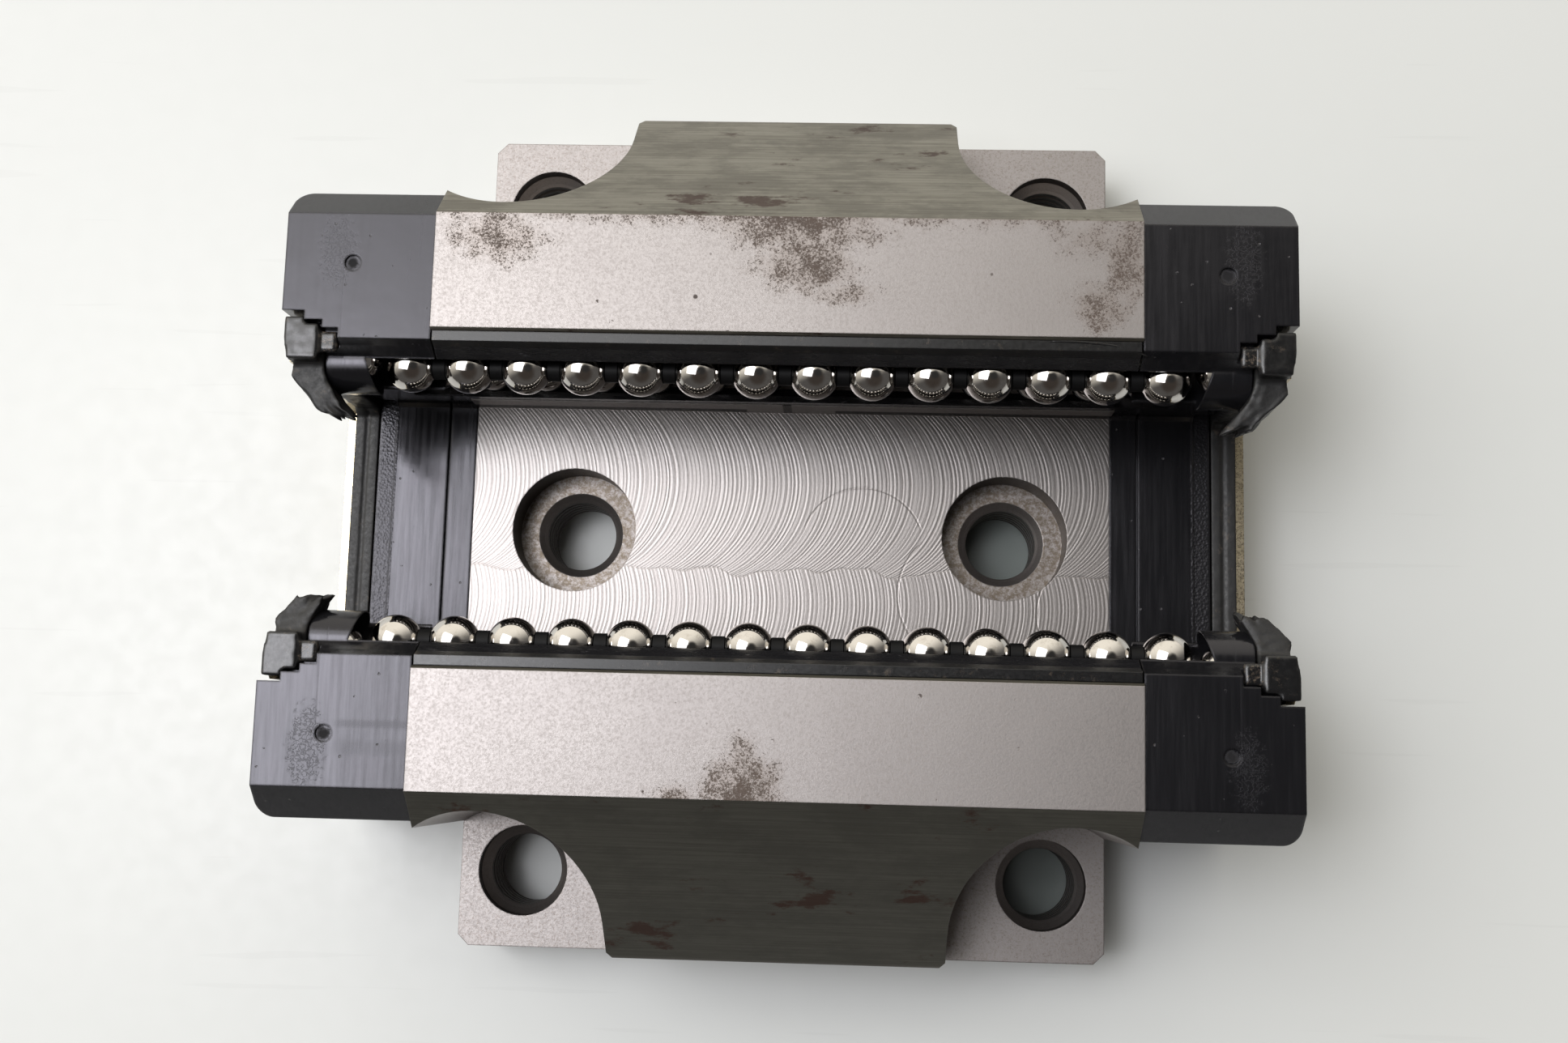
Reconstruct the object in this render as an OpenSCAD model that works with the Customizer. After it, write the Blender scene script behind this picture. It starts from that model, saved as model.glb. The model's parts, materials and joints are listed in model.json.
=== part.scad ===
// Flanged recirculating-ball carriage for a 34 mm wide profile rail, size 35.
// It lies on its mounting face: the rail runs along X in the open channel on top.
// Left is +Y, right is -Y, front is +X and rear is -X. The head rows run beside the
// rail's head, near the mounting face, and the foot rows run near the open edge.

/* [Carriage block] */
// Length of the steel block along the rail
block_len = 77; // [76:0.5:78]
// Width over the flange
flange_w = 100; // [99:0.5:101]
// Height of the steel block
block_h = 40.4; // [40.2:0.1:40.8]
// Height of the flange at its outer edge
flange_h = 19.6; // [18:0.1:21]
// Thickness left under the four corner pockets
plate_t = 11; // [10:0.1:12]
// Half width of the skirts at the open face
skirt_out_y = 31.4; // [31:0.1:32]
// Half width between the skirts at the open face
skirt_in_y = 18.2; // [18.2:0.05:18.4]
// Height of the channel's ceiling above the mounting face
ceiling_z = 14.7; // [14:0.1:14.8]
// Half width of the channel at its ceiling
channel_y = 14.9; // [14.8:0.05:14.95]

/* [Mounting holes] */
// Corner hole spacing along the rail
corner_dx = 62; // [61.5:0.5:62.5]
// Corner hole spacing across the rail
corner_dy = 82; // [81.5:0.5:82.5]
// Centre hole spacing along the rail
centre_dx = 52; // [51.5:0.5:52.5]
// Core radius of the M10 threads
core_r = 4.25; // [4.2:0.05:4.3]
// Radius of the relief above each corner thread
relief_r = 5.35; // [5.2:0.05:5.5]
// Depth of the relief above each corner thread
relief_depth = 1.7; // [1.2:0.1:2]
// Radius of the centre counterbores
counterbore_r = 7.5; // [7.3:0.1:7.7]
// Height of the centre counterbores' seats
counterbore_z = 9.2; // [9:0.1:10.2]

/* [Corner pockets] */
// Distance from the middle to a pocket's axis, along the rail
pocket_x = 31.7; // [31.4:0.1:32]
// Distance from the middle to a pocket's axis, across the rail
pocket_y = 45.7; // [45.4:0.1:46]
// Radius of the pocket cutter
pocket_r = 12.4; // [12.2:0.1:12.5]

/* [Ball circuits] */
// Ball radius (7/32 inch balls)
ball_r = 2.778; // [2.75:0.001:2.8]
// Distance from ball to ball
ball_pitch = 6.42; // [6.38:0.01:6.44]
// Balls in each straight row
row_balls = 14; // [14:2:14]
// Balls in each turn
turn_balls = 2; // [2:1:2]
// Foot row's distance from the middle
foot_y = 15.2; // [15.15:0.05:15.25]
// Foot row's height
foot_z = 34.4; // [34.35:0.05:34.45]
// Head row's distance from the middle
head_y = 18.3; // [18.25:0.05:18.35]
// Head row's height
head_z = 22; // [21.95:0.05:22.05]
// Radius of the spacers between the balls
spacer_r = 1.25; // [1:0.05:1.6]
// Length of the spacers between the balls
spacer_len = 2.4; // [2.2:0.1:2.5]

/* [End caps] */
// Half length over the end caps
cap_end_x = 55; // [54.9:0.1:55.2]
// Half width over the end caps
cap_y = 34.6; // [34.4:0.1:34.8]
// Gap between the end caps and the mounting plane
cap_z0 = 0.8; // [0.6:0.1:1]
// Height of the end caps
cap_z1 = 40; // [39.9:0.1:40.2]
// Corner radius of the end caps seen from above
cap_corner_r = 1.7; // [1:0.1:3]

/* [Fasteners] */
// Shank radius of the M4 cap screws
screw_r = 1.95; // [1.9:0.01:2]
// Leg screws' distance from the middle
leg_screw_y = 28.6; // [28.4:0.1:28.8]
// Leg screws' height
leg_screw_z = 28.8; // [28.6:0.1:29]
// Base screws' distance from the middle
base_screw_y = 11; // [10.6:0.1:11.4]
// Base screws' and grease port's height
base_screw_z = 7.4; // [7.2:0.1:7.6]

/* [Hidden] */
$fn = 64;
block_x = block_len / 2;
// Straight tracks end where the turns begin, half a pitch past the last ball.
turn_x = row_balls * ball_pitch / 2;
turn_r = turn_balls * ball_pitch / PI;
groove_r = ball_r + 0.03;
track_r = ball_r + 0.15;
lip_gap_r = ball_r + 0.2;
// Pocket in each skirt for the raceways and the retainers
pocket_floor_z = 18.9;
pocket_step_z = 28.5;
pocket_top_z = 38;
foot_wall_y = 19.6;
head_wall_y = 22.6;
fit_gap = 0.05;
strip_x = block_x - 0.2;
// Tip of the lips that hold the foot row, from the row's axis, and the side seal's underside
lip_y = 0.35;
lip_z = 2.98;
seal_z = 38.95;
// End seal recess of the end caps, from the open end inwards
seat_x = 50.5;
bulge_x = 52.5;
lip_zone_y = 15.9;
block_zone_y = 19.2;
plate_zone_y = 20.2;
block_zone_z = 37.5;
// Recess for the tab beside each block of the seal
tab_x = 48.7;
tab_y = 18.3;
tab_z = 38.6;
recess_z0 = 2.2;
seal_x0 = 50.7;
seal_x1 = 53.6;
plate_x0 = 53.65;
plate_x1 = 54.65;
screw_tip_x = 29.5;
guide_half_h = 2.3;
port_r = 2.5;
side_port_x = 45.5;
side_port_z = 12;

// Extrudes a Y-Z section along X, from x0 to x1.
module along_x(x0, x1) {
    translate([x0, 0, 0])
        rotate([90, 0, 90])
            linear_extrude(height = x1 - x0)
                children();
}

// A rod along X, from x0 to x1, at y and z.
module rod_x(x0, x1, y, z, r) {
    translate([x0, y, z])
        rotate([0, 90, 0])
            cylinder(r = r, h = x1 - x0);
}

// A Y-Z section that is symmetric about the middle plane, from the outline of its left half
module symmetric_section(half) {
    polygon(concat(half, [
        for (i = [len(half) - 1 : -1 : 0])
            if (half[i][0] > 0) [-half[i][0], half[i][1]]
    ]));
}

// Children on the right side instead of the left
module right_side() {
    mirror([0, 1, 0]) children();
}

// Children at the rear end instead of the front
module rear_end() {
    mirror([1, 0, 0]) children();
}

module left_and_right() {
    children();
    right_side() children();
}

module front_and_rear() {
    children();
    rear_end() children();
}

// ---- Carriage block ----

module block_section() {
    symmetric_section([
        [0, 0], [flange_w / 2 - 0.5, 0], [flange_w / 2, 0.5], [flange_w / 2, flange_h],
        [skirt_out_y, block_h], [skirt_in_y + 0.3, block_h], [skirt_in_y, block_h - 0.3],
        [skirt_in_y, pocket_top_z], [foot_wall_y, pocket_top_z], [foot_wall_y, pocket_step_z],
        [head_wall_y, pocket_step_z], [head_wall_y, pocket_floor_z],
        [channel_y, pocket_floor_z], [channel_y, ceiling_z], [0, ceiling_z]
    ]);
}

// Space milled away above one corner plate, open to the flange's side
module corner_pocket() {
    translate([pocket_x, pocket_y, plate_t])
        cylinder(r = pocket_r, h = block_h);
    translate([pocket_x - pocket_r, pocket_y, plate_t])
        cube([2 * pocket_r, flange_w, block_h]);
}

// Thread core with its relief and chamfers at one corner
module corner_hole() {
    translate([corner_dx / 2, corner_dy / 2, -1])
        cylinder(r = core_r, h = plate_t + 2);
    translate([corner_dx / 2, corner_dy / 2, plate_t - relief_depth])
        cylinder(r = relief_r, h = relief_depth + 1);
    translate([corner_dx / 2, corner_dy / 2, plate_t - relief_depth - (relief_r - core_r)])
        cylinder(r1 = core_r, r2 = relief_r, h = relief_r - core_r);
    translate([corner_dx / 2, corner_dy / 2, -0.01])
        cylinder(r1 = core_r + 0.75, r2 = core_r, h = 0.75);
}

// Thread core with its counterbore from the channel's ceiling
module centre_hole() {
    translate([centre_dx / 2, 0, -1])
        cylinder(r = core_r, h = ceiling_z + 2);
    translate([centre_dx / 2, 0, counterbore_z])
        cylinder(r = counterbore_r, h = ceiling_z);
    translate([centre_dx / 2, 0, counterbore_z - 1])
        cylinder(r1 = core_r, r2 = core_r + 1.01, h = 1.01);
    translate([centre_dx / 2, 0, -0.01])
        cylinder(r1 = core_r + 0.75, r2 = core_r, h = 0.75);
}

// Chamfer down the vertical edge of one corner plate
module corner_chamfer() {
    translate([block_x, flange_w / 2, -1])
        rotate([0, 0, 45])
            cube([1.8, 1.8, 2 * plate_t + 2 * block_h], center = true);
}

// Chamfer down the vertical edge where the flange meets a pocket
module flange_edge_chamfer() {
    translate([pocket_x - pocket_r, flange_w / 2, -1])
        rotate([0, 0, 45])
            cube([0.9, 0.9, 2 * block_h], center = true);
}

module carriage_block() {
    color([0.60, 0.57, 0.54])
        difference() {
            along_x(-block_x, block_x) block_section();
            left_and_right() front_and_rear() {
                corner_pocket();
                corner_hole();
                corner_chamfer();
                intersection() {
                    flange_edge_chamfer();
                    translate([0, 0, plate_t])
                        cube([flange_w, flange_w, block_h]);
                }
                rod_x(screw_tip_x - 1, block_x + 1, leg_screw_y, leg_screw_z, screw_r + fit_gap);
                rod_x(screw_tip_x - 1, block_x + 1, base_screw_y, base_screw_z, screw_r + fit_gap);
            }
            front_and_rear() centre_hole();
            left_and_right() {
                rod_x(-flange_w, flange_w, foot_y + 2 * turn_r, foot_z, track_r);
                rod_x(-flange_w, flange_w, head_y + 2 * turn_r, head_z, track_r);
            }
        }
}

// ---- Hardened raceways ----

module foot_raceway() {
    color([0.66, 0.65, 0.64])
        along_x(-strip_x, strip_x)
            difference() {
                polygon([
                    [foot_wall_y - fit_gap, pocket_step_z + 1.1],
                    [foot_wall_y - fit_gap, pocket_top_z - fit_gap],
                    [foot_y + 1.1, pocket_top_z - fit_gap],
                    [foot_y + 1.1, foot_z - 0.4],
                    [foot_y + 2.3, foot_z - 2.6],
                    [foot_y + 2.3, pocket_step_z + 1.1]
                ]);
                translate([foot_y, foot_z]) circle(r = groove_r);
            }
}

module head_raceway() {
    color([0.66, 0.65, 0.64])
        along_x(-strip_x, strip_x)
            difference() {
                polygon([
                    [head_wall_y - fit_gap, pocket_floor_z + fit_gap],
                    [head_wall_y - fit_gap, pocket_step_z - 1.1],
                    [head_y + 2.1, pocket_step_z - 1.1],
                    [head_y + 2.1, head_z + 2.4],
                    [head_y + 0.9, head_z],
                    [head_y + 0.9, pocket_floor_z + fit_gap]
                ]);
                translate([head_y, head_z]) circle(r = groove_r);
            }
}

// ---- Ball retainers and side seals ----

module foot_retainer() {
    color([0.10, 0.10, 0.11])
        along_x(-strip_x, strip_x)
            polygon([
                [foot_y + lip_y, foot_z + lip_z], [foot_y + 1, foot_z + lip_z + 0.1],
                [foot_y + 1, pocket_top_z], [skirt_in_y - fit_gap, pocket_top_z],
                [skirt_in_y - fit_gap, seal_z], [foot_y + 1.4, seal_z]
            ]);
}

module side_seal() {
    color([0.07, 0.07, 0.08])
        along_x(-strip_x, strip_x)
            polygon([
                [skirt_in_y - fit_gap, seal_z + fit_gap],
                [skirt_in_y - fit_gap, block_h - 0.3],
                [foot_y + 1.85, block_h - 0.3],
                [foot_y + 1.4, seal_z + fit_gap]
            ]);
}

module middle_retainer() {
    bar_y = 17.35;
    color([0.10, 0.10, 0.11])
        along_x(-strip_x, strip_x)
            polygon([
                [bar_y, pocket_step_z - 3.2], [bar_y, pocket_step_z + 1.05],
                [foot_wall_y - fit_gap, pocket_step_z + 1.05],
                [foot_wall_y - fit_gap, pocket_step_z - fit_gap],
                [head_wall_y - fit_gap, pocket_step_z - fit_gap],
                [head_wall_y - fit_gap, pocket_step_z - 1.05],
                [head_y + 2.05, pocket_step_z - 1.05], [head_y + 2.05, pocket_step_z - 3.2]
            ]);
}

module head_retainer() {
    color([0.10, 0.10, 0.11])
        along_x(-strip_x, strip_x)
            difference() {
                translate([channel_y + 0.1, pocket_floor_z + fit_gap]) square([1.8, 1.45]);
                translate([head_y, head_z]) circle(r = lip_gap_r);
            }
}

// ---- Ball circuits ----

// Half ring that the balls follow round a turn, in the plane of the circuit
module turn_ring(r) {
    intersection() {
        rotate_extrude()
            translate([turn_r, 0])
                circle(r = r);
        translate([0, -2 * turn_r, -2 * turn_r])
            cube(4 * turn_r);
    }
}

// Straight tracks and turn at the front end of one circuit
module end_track(row_y, row_z) {
    rod_x(block_x - 1, turn_x + 0.01, row_y, row_z, track_r);
    rod_x(block_x - 1, turn_x + 0.01, row_y + 2 * turn_r, row_z, track_r);
    translate([turn_x, row_y + turn_r, row_z]) turn_ring(track_r);
}

// Core between the loaded and the return track at the front end of one circuit
module guide_core(row_y, row_z, gap) {
    translate([0, row_y + turn_r, row_z - guide_half_h + gap])
        linear_extrude(height = 2 * guide_half_h - 2 * gap) {
            translate([block_x + gap, -turn_r]) square([turn_x - block_x - gap, 2 * turn_r]);
            translate([turn_x, 0]) circle(r = turn_r);
        }
}

module return_guide(row_y, row_z) {
    difference() {
        guide_core(row_y, row_z, fit_gap);
        end_track(row_y, row_z);
        // Locating hole on the turn's axis
        translate([turn_x, row_y + turn_r, row_z - track_r])
            cylinder(r = 0.6, h = 2 * track_r);
    }
}

module return_guides() {
    color([0.16, 0.16, 0.17])
        left_and_right() {
            return_guide(foot_y, foot_z);
            return_guide(head_y, head_z);
        }
}

// A straight row of balls beside the middle plane
module ball_row(row_y, row_z) {
    color([0.80, 0.80, 0.82])
        for (i = [0 : row_balls - 1])
            translate([(i - (row_balls - 1) / 2) * ball_pitch, row_y, row_z])
                sphere(r = ball_r);
}

// Half profile of a dished spacer, from its axis outwards
module spacer_profile() {
    difference() {
        translate([0, -spacer_len / 2]) square([spacer_r, spacer_len]);
        for (side = [-1, 1])
            translate([0, side * ball_pitch / 2]) circle(r = ball_r + fit_gap);
    }
}

// Dished spacers between the balls of a straight row
module spacer_row(row_y, row_z) {
    color([0.09, 0.09, 0.10])
        for (i = [1 : row_balls - 1])
            translate([(i - row_balls / 2) * ball_pitch, row_y, row_z])
                rotate([0, 90, 0])
                    rotate_extrude() spacer_profile();
}

// Balls in the front turn of one circuit, half a pitch past each straight row
module turn_row(row_y, row_z) {
    color([0.80, 0.80, 0.82])
        for (i = [0 : turn_balls - 1])
            translate([turn_x, row_y + turn_r, row_z])
                rotate([0, 0, -90 + (i + 0.5) * 180 / turn_balls])
                    translate([turn_r, 0, 0])
                        sphere(r = ball_r);
}

// ---- End caps ----

module cap_section() {
    ridge_y = 17.3;
    tongue_r = 3.2;
    symmetric_section([
        [0, cap_z0], [cap_y - 3, cap_z0], [cap_y, cap_z0 + 3], [cap_y, cap_z1 - 3.6],
        [cap_y - 3.4, cap_z1], [17.2, cap_z1], [foot_y + 1.4, seal_z],
        [foot_y + lip_y, foot_z + lip_z], [foot_y + lip_y, foot_z - 3],
        [ridge_y, foot_z - 3.3], [ridge_y, head_z + 2.9],
        [15.2, head_z + 1.9], [15.2, 15.4], [14.7, ceiling_z + 0.2], [0, ceiling_z + 0.2]
    ]);
    for (side = [-1, 1])
        translate([side * (foot_y + 0.1), foot_z]) circle(r = tongue_r);
}

// Plan outline with rounded outer corners
module cap_outline() {
    translate([block_x, -cap_y])
        square([cap_end_x - cap_corner_r - block_x, 2 * cap_y]);
    translate([block_x, -cap_y + cap_corner_r])
        square([cap_end_x - block_x, 2 * (cap_y - cap_corner_r)]);
    for (side = [-1, 1])
        translate([cap_end_x - cap_corner_r, side * (cap_y - cap_corner_r)])
            circle(r = cap_corner_r);
}

// Stepped recess at the open end of a cap, for the end seal and its plate
module seal_recess() {
    translate([seat_x, -lip_zone_y, recess_z0])
        cube([cap_end_x, 2 * lip_zone_y, block_h]);
    translate([bulge_x, -plate_zone_y, recess_z0])
        cube([cap_end_x, 2 * plate_zone_y, block_h]);
    translate([seat_x, -block_zone_y, block_zone_z])
        cube([cap_end_x, 2 * block_zone_y, block_h]);
    translate([tab_x, -tab_y, tab_z])
        cube([cap_end_x, 2 * tab_y, block_h]);
}

// Windows through which the loaded balls reach the rail, on one side
module ball_windows() {
    translate([0, 0, foot_z - 2.45])
        linear_extrude(height = block_h)
            polygon([
                [block_x - 1, foot_y + lip_y], [block_x - 1, foot_y - 4],
                [turn_x - 0.1, foot_y - 4], [turn_x + 1.3, foot_y + lip_y]
            ]);
    translate([block_x - 1, head_y - 3.5, head_z - 2.3])
        cube([turn_x - block_x + 1, 3.5, 4.6]);
}

// Socket for a leg screw and its head
module leg_screw_hole() {
    rod_x(block_x - 1, cap_end_x + 1, leg_screw_y, leg_screw_z, screw_r + 0.2);
    rod_x(cap_end_x - 4.4, cap_end_x + 1, leg_screw_y, leg_screw_z, 3.7);
}

module end_cap() {
    color([0.09, 0.09, 0.10])
        difference() {
            intersection() {
                along_x(block_x, cap_end_x) cap_section();
                linear_extrude(height = block_h) cap_outline();
            }
            seal_recess();
            left_and_right() {
                end_track(foot_y, foot_z);
                end_track(head_y, head_z);
                guide_core(foot_y, foot_z, 0);
                guide_core(head_y, head_z, 0);
                ball_windows();
                leg_screw_hole();
                rod_x(block_x - 1, seat_x + 1, base_screw_y, base_screw_z, screw_r + 0.2);
                translate([side_port_x, cap_y - 3.6, side_port_z])
                    rotate([-90, 0, 0])
                        cylinder(r = port_r - 0.5, h = 5);
            }
            rod_x(block_x + 3, seat_x + 1, 0, base_screw_z, port_r);
            // Joint line and lower land of the ceiling
            translate([41.6, -lip_zone_y, ceiling_z - 0.3])
                cube([0.3, 2 * lip_zone_y, 2]);
            translate([48.5, -lip_zone_y, ceiling_z - 0.1])
                cube([seat_x - 48.4, 2 * lip_zone_y, 2]);
            // Mould ejector marks on the open face
            left_and_right()
                translate([47.5, 25.6, cap_z1 - 0.25])
                    cylinder(r = 0.9, h = 1);
        }
}

// ---- End seals and scraper plates ----

module seal_section() {
    symmetric_section([
        [0, recess_z0 + 0.3], [plate_zone_y - 0.25, recess_z0 + 0.3],
        [plate_zone_y - 0.25, block_zone_z - 0.6], [block_zone_y - 0.25, block_zone_z - 0.6],
        [block_zone_y - 0.25, block_zone_z + 0.3], [14.7, block_zone_z + 0.3], [11.2, foot_z + 2.2],
        [11.4, foot_z - 1.1], [16.9, foot_z - 3.2], [16.9, head_z + 2.8],
        [14.4, head_z + 1.4], [14.4, ceiling_z + 1], [13.6, ceiling_z - 0.1],
        [0, ceiling_z - 0.1]
    ]);
}

// The thick part of the seal: its lips and the blocks at its two free ends
module seal_lip_zone() {
    translate([-lip_zone_y + 0.2, 0]) square([2 * lip_zone_y - 0.4, block_h]);
    translate([-block_zone_y, block_zone_z + 0.2]) square([2 * block_zone_y, block_h]);
}

// Rubber block over the plate's free end, stepped like the cap beside it, with its tab
module seal_block() {
    translate([0, 0, block_zone_z + 0.1])
        linear_extrude(height = cap_z1 - 0.5 - block_zone_z)
            polygon([
                [51, 14.9], [plate_x1 - 0.3, 14.9], [plate_x1 + 0.15, 17.2],
                [plate_x1 + 0.15, 19.6], [bulge_x + 0.15, 19.6], [bulge_x + 0.15, 18.9], [51, 18.9]
            ]);
    translate([tab_x + 0.2, 15.8, tab_z + fit_gap])
        cube([52 - tab_x, tab_y - 16, 0.6]);
}

module end_seal() {
    color([0.06, 0.06, 0.07])
        difference() {
            union() {
                left_and_right() seal_block();
                along_x(bulge_x + fit_gap, seal_x1) seal_section();
                along_x(seal_x0, bulge_x + 0.1)
                    intersection() {
                        seal_section();
                        seal_lip_zone();
                    }
            }
            // Groove between the two lips, towards the rail
            along_x(51.8, 52.4)
                symmetric_section([
                    [0, ceiling_z - 0.7], [13.3, ceiling_z - 0.7], [15, ceiling_z + 0.8],
                    [15, head_z + 1.1], [17.5, head_z + 2.6], [17.5, foot_z - 2.9],
                    [12, foot_z - 0.8], [11.8, foot_z + 2.6], [0, foot_z + 2.6]
                ]);
            left_and_right()
                rod_x(seat_x - 1, cap_end_x, base_screw_y, base_screw_z, 4);
            rod_x(seat_x - 1, cap_end_x, 0, base_screw_z, port_r + 0.7);
        }
}

module plate_section() {
    symmetric_section([
        [0, recess_z0 + 0.3], [plate_zone_y - 1.1, recess_z0 + 0.3],
        [plate_zone_y - 0.3, recess_z0 + 1.1], [plate_zone_y - 0.3, block_zone_z - 0.5],
        [plate_zone_y - 0.8, block_zone_z], [15, block_zone_z],
        [14.8, foot_z - 2.1], [17.3, foot_z - 2.8], [17.3, head_z + 2.5],
        [14.8, head_z + 1.2], [14.8, ceiling_z + 0.7], [13.9, ceiling_z - 0.6],
        [0, ceiling_z - 0.6]
    ]);
}

module scraper_plate() {
    color([0.72, 0.66, 0.52])
        difference() {
            along_x(plate_x0, plate_x1) plate_section();
            left_and_right()
                translate([plate_x0 - 1, base_screw_y, base_screw_z])
                    rotate([0, 90, 0])
                        cylinder(r1 = screw_r + 0.1, r2 = screw_r + 2.1, h = 2);
            rod_x(seat_x, cap_end_x, 0, base_screw_z, port_r + 0.7);
        }
}

// ---- Screws and plugs ----

// Hexagonal key socket along X, opening at x1
module key_socket(x1, depth, across) {
    translate([x1 - depth, 0, 0])
        rotate([0, 90, 0])
            cylinder(r = across / sqrt(3), h = depth + 1, $fn = 6);
}

module cap_screws() {
    head_top = cap_end_x - 0.3;
    color([0.20, 0.20, 0.21])
        left_and_right()
            translate([0, leg_screw_y, leg_screw_z])
                difference() {
                    union() {
                        rod_x(screw_tip_x, head_top - 3, 0, 0, screw_r);
                        rod_x(head_top - 4, head_top, 0, 0, 3.5);
                    }
                    key_socket(head_top, 2.2, 3);
                }
}

module plate_screws() {
    color([0.70, 0.70, 0.70])
        left_and_right()
            translate([0, base_screw_y, base_screw_z])
                difference() {
                    union() {
                        rod_x(screw_tip_x, plate_x1 - 1.5, 0, 0, screw_r);
                        translate([plate_x1 - 1.95, 0, 0])
                            rotate([0, 90, 0])
                                cylinder(r1 = screw_r, r2 = screw_r + 1.9, h = 1.9);
                    }
                    key_socket(plate_x1, 1.3, 2.5);
                }
}

module grease_plug() {
    color([0.55, 0.55, 0.56])
        translate([0, 0, base_screw_z])
            difference() {
                rod_x(seat_x - 6, seat_x - 0.3, 0, 0, port_r - fit_gap);
                key_socket(seat_x - 0.3, 2.2, 3);
            }
}

module side_plugs() {
    color([0.55, 0.55, 0.56])
        left_and_right()
            translate([side_port_x, cap_y - 3.5, side_port_z])
                rotate([-90, 0, 0])
                    difference() {
                        cylinder(r = port_r - 0.5 - fit_gap, h = 3.2);
                        translate([0, 0, 1.5])
                            cylinder(r = 2 / sqrt(3), h = 3, $fn = 6);
                    }
}

// ---- Nodes ----

carriage_block();
foot_raceway();  // foot_raceway_left
right_side() foot_raceway();  // foot_raceway_right
head_raceway();  // head_raceway_left
right_side() head_raceway();  // head_raceway_right
side_seal();  // side_seal_left
right_side() side_seal();  // side_seal_right
foot_retainer();  // foot_retainer_left
right_side() foot_retainer();  // foot_retainer_right
middle_retainer();  // middle_retainer_left
right_side() middle_retainer();  // middle_retainer_right
head_retainer();  // head_retainer_left
right_side() head_retainer();  // head_retainer_right
end_cap();  // end_cap_front
rear_end() end_cap();  // end_cap_rear
return_guides();  // return_guides_front
rear_end() return_guides();  // return_guides_rear
end_seal();  // end_seal_front
rear_end() end_seal();  // end_seal_rear
scraper_plate();  // scraper_plate_front
rear_end() scraper_plate();  // scraper_plate_rear
cap_screws();  // cap_screws_front
rear_end() cap_screws();  // cap_screws_rear
plate_screws();  // plate_screws_front
rear_end() plate_screws();  // plate_screws_rear
grease_plug();  // grease_plug_front
rear_end() grease_plug();  // grease_plug_rear
side_plugs();  // side_plugs_front
rear_end() side_plugs();  // side_plugs_rear
ball_row(foot_y, foot_z);  // foot_row_balls_left
ball_row(-foot_y, foot_z);  // foot_row_balls_right
ball_row(head_y, head_z);  // head_row_balls_left
ball_row(-head_y, head_z);  // head_row_balls_right
spacer_row(foot_y, foot_z);  // foot_row_spacers_left
spacer_row(-foot_y, foot_z);  // foot_row_spacers_right
spacer_row(head_y, head_z);  // head_row_spacers_left
spacer_row(-head_y, head_z);  // head_row_spacers_right
ball_row(foot_y + 2 * turn_r, foot_z);  // foot_return_balls_left
ball_row(-foot_y - 2 * turn_r, foot_z);  // foot_return_balls_right
ball_row(head_y + 2 * turn_r, head_z);  // head_return_balls_left
ball_row(-head_y - 2 * turn_r, head_z);  // head_return_balls_right
spacer_row(foot_y + 2 * turn_r, foot_z);  // foot_return_spacers_left
spacer_row(-foot_y - 2 * turn_r, foot_z);  // foot_return_spacers_right
spacer_row(head_y + 2 * turn_r, head_z);  // head_return_spacers_left
spacer_row(-head_y - 2 * turn_r, head_z);  // head_return_spacers_right
turn_row(foot_y, foot_z);  // foot_turn_balls_front_left
right_side() turn_row(foot_y, foot_z);  // foot_turn_balls_front_right
rear_end() turn_row(foot_y, foot_z);  // foot_turn_balls_rear_left
rear_end() right_side() turn_row(foot_y, foot_z);  // foot_turn_balls_rear_right
turn_row(head_y, head_z);  // head_turn_balls_front_left
right_side() turn_row(head_y, head_z);  // head_turn_balls_front_right
rear_end() turn_row(head_y, head_z);  // head_turn_balls_rear_left
rear_end() right_side() turn_row(head_y, head_z);  // head_turn_balls_rear_right
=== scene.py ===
"""Looks of a flanged linear guide carriage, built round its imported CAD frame."""

import json
import math

import bmesh
import bpy
from mathutils import Matrix, Vector, noise


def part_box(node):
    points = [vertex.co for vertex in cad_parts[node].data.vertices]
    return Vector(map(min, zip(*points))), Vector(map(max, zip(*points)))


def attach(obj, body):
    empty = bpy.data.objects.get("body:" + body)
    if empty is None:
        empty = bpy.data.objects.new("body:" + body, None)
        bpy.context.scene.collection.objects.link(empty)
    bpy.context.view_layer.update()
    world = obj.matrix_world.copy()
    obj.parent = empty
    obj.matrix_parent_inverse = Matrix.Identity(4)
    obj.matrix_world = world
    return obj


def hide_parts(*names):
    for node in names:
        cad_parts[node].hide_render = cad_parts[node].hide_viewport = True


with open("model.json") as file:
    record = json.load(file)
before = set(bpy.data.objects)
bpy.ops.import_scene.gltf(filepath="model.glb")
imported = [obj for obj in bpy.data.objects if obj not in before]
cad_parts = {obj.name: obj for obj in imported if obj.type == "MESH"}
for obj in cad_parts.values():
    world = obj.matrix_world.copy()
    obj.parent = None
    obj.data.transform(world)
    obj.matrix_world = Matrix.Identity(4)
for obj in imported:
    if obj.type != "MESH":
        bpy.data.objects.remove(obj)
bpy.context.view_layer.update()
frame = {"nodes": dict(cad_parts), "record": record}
nodes = frame["nodes"]
MM = 0.001
SEED = 11
noise.seed_set(SEED)


# ---------------------------------------------------------------- shader helpers


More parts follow.
